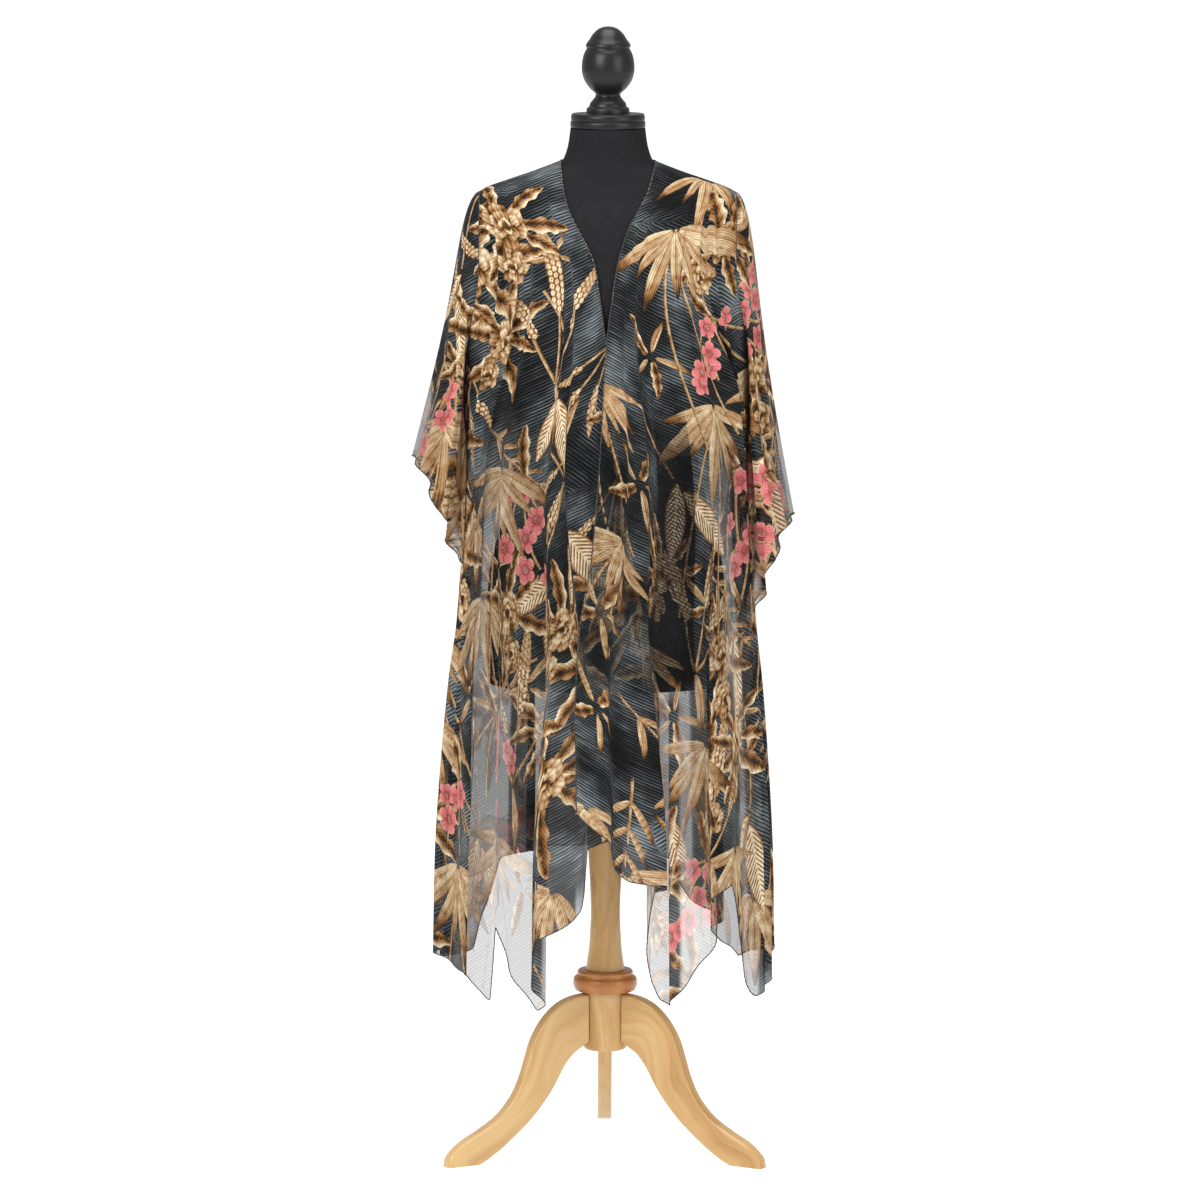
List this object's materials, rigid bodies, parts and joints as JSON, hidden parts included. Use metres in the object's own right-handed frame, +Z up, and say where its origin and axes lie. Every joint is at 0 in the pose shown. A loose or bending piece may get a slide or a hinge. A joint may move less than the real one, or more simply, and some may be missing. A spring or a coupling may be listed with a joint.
{
  "type": "kimono coat on dress form stand",
  "caption": "Open-front kimono coat of sheer printed voile with a handkerchief hem, worn by a black limbless dress form on a turned wooden tripod.",
  "frame": {"origin": "on the floor, below the middle of the whole part's plan; the form's own axis is 5 mm to +X and 41 mm to -Y of it", "axes": "+Z up along the form's axis, -Y towards the coat's open front, +X towards the wearer's left sleeve"},
  "size_m": [0.5354, 0.4326, 1.585],
  "materials": {
    "printed_voile": "sheer crinkled voile with a botanical print, slight sheen",
    "black_linen": "matte black linen cover",
    "black_wood": "satin black paint on turned wood",
    "pale_wood": "satin varnish on pale wood with upright grain",
    "amber_wood": "glossier varnish on a turned collar"
  },
  "bodies": {
    "root": {"front_right": "printed_voile", "front_left": "printed_voile", "back": "printed_voile", "sleeve_right": "printed_voile", "sleeve_left": "printed_voile", "torso": "black_linen", "neck_cap": "black_wood", "finial": "black_wood", "column": "pale_wood", "collar": "amber_wood", "hub": "pale_wood", "leg_left": "pale_wood", "leg_right": "pale_wood", "leg_back": "pale_wood"}
  },
  "joints": []
}
